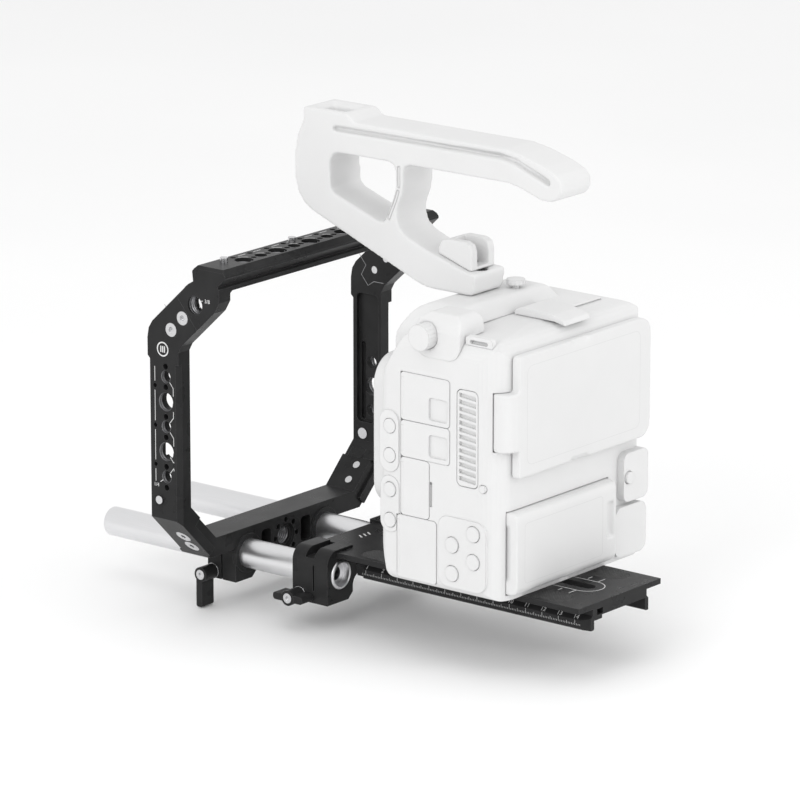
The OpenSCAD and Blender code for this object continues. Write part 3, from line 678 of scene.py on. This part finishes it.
# ---------- small body details ----------
def top_pad():
    """Low raised pad with a rounded outline and leaning sides on the grip side of the camera's top."""
    low, high = rig(-52, 57.5, 140.3), rig(-21, 98.5, 142.0)
    middle = (low + high) / 2
    bm = box_mesh(low, high)
    for v in bm.verts:
        if v.co.z > middle.z:
            v.co.x += 1.5 * MM * (1 if v.co.x < middle.x else -1)
    round_edges(bm, 0.9 * MM, 4)
    new_object("top_pad", bm, MATERIALS["white_plastic"], "camera")


def vent_screen():
    """Pale dust screen behind the vent's slats."""
    lo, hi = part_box("vent_grille")
    inset = Vector((0, 1.2, 1.6)) * MM
    low, high = lo + inset, hi - inset
    low.x, high.x = hi.x - 2.1 * MM, hi.x - 1.5 * MM
    bm = box_mesh(low, high)
    round_edges(bm, 0.2 * MM, 3)
    new_object("vent_screen", bm, MATERIALS["white_plastic"], "camera")


def rounded_frame(x0, z0, x1, z1, r, y):
    """Closed rounded rectangle facing rearwards at y in metres; the rest in mm, as in rig()."""
    pts = []
    corners = ((x1 - r, z1 - r), (x0 + r, z1 - r), (x0 + r, z0 + r), (x1 - r, z0 + r))
    for quarter, (cx, cz) in enumerate(corners):
        for k in range(7):
            turn = math.radians(90 * quarter + 15 * k)
            point = rig(cx + r * math.cos(turn), 0, cz + r * math.sin(turn))
            point.y = y
            pts.append(point)
    return pts + [pts[0]]


def panel_lines():
    """Fine seams: the border of the monitor's back, the battery's label field and the arm joints."""
    seam = new_material("seam_shadow", (0.62, 0.62, 0.62), 0.6)[0]
    for label, node, outline in (("monitor_border", "lcd_monitor", (-54, 79, 36, 128, 4)),
                                 ("battery_border", "battery", (-24, 20.5, 38, 50.5, 2))):
        frame_line = rounded_frame(*outline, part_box(node)[1].y)
        strokes(label, NODES[node]["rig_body"], [frame_line], 0.25, seam, (0, 1, 0), 0.02)
    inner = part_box("cage_left_arm")[1].x / MM - 8.5
    joint = [(-76, 135), (-73.4, 131.4), (-70.0, 127.3), (-73.0, 122), (-68.6, 116.8), (-64.8, 119.4),
             (-58.5, 119.4)]
    for side, label in ((1, "left"), (-1, "right")):
        line = [rig(side * inner, y, z) for y, z in joint]
        strokes(f"joint_line_{label}", "cage", [line], 0.28, INK_GREY, (-side, 0, 0))


# ---------- studio ----------
def area_light(name, at, target, size, power, size_y=None):
    data = bpy.data.lights.new(name, "AREA")
    data.energy = power
    data.size = size
    if size_y:
        data.shape = "RECTANGLE"
        data.size_y = size_y
    light = linked(name, data)
    light.location = at
    light.rotation_mode = "QUATERNION"
    light.rotation_quaternion = (Vector(target) - Vector(at)).to_track_quat("-Z", "Y")


def studio():
    lo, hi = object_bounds()
    mat, tree, shader, coords = new_material("floor_pale", (0.9, 0.9, 0.9), 0.7)
    tree.links.new(ramp(tree, noise(tree, coords, 3, 2), 0.93, 0.95), shader.inputs["Base Color"])
    bm = bmesh.new()
    bmesh.ops.create_grid(bm, x_segments=8, y_segments=8, size=6)
    floor = object_from("floor", bm)
    floor.location.z = lo.z - 0.5 * MM
    paint(floor, mat)
    floor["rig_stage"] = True

    world = bpy.data.worlds.new("studio")
    world.use_nodes = True
    world.node_tree.nodes["Background"].inputs["Color"].default_value = (1, 1, 1, 1)
    world.node_tree.nodes["Background"].inputs["Strength"].default_value = 0.90
    bpy.context.scene.world = world
    aim = (lo + hi) / 2
    area_light("key", aim + Vector((1.7, 0.2, 0.9)), aim, 1.2, 11)
    area_light("top", aim + Vector((0.1, 0.1, 1.6)), aim, 1.4, 3)
    area_light("back_strip", aim + Vector((-0.4, 1.6, 0.5)), aim, 0.5, 7, 1.6)
    bpy.context.scene.view_settings.view_transform = "Standard"
    bpy.context.scene.view_settings.look = "None"


def camera():
    """The photograph's angle: behind and to the operator's left, with a long lens."""
    azimuth, elevation = math.radians(128.967), math.radians(15.174)
    back = Vector((math.sin(azimuth) * math.cos(elevation), -math.cos(azimuth) * math.cos(elevation),
                   math.sin(elevation)))
    data = bpy.data.cameras.new("camera")
    data.sensor_width = 36
    data.lens = 257.8
    data.clip_start, data.clip_end = 0.05, 50
    cam = linked("camera", data)
    cam.location = Vector((2.125505, 1.667328, 0.828551))
    cam.rotation_mode = "QUATERNION"
    cam.rotation_quaternion = (-back).to_track_quat("-Z", "Y")
    bpy.context.scene.camera = cam


finish_nodes()
handle()
skin("hand_grip", 0.9, 16, "grip_skin", [trigger_pocket()])
for soft_node, look in SKINS.items():
    skin(soft_node, *look)
top_pad()
vent_screen()
panel_lines()
threads()
scale_marks()
plate_marks()
arm_marks()
rail_marks()
studio()
camera()
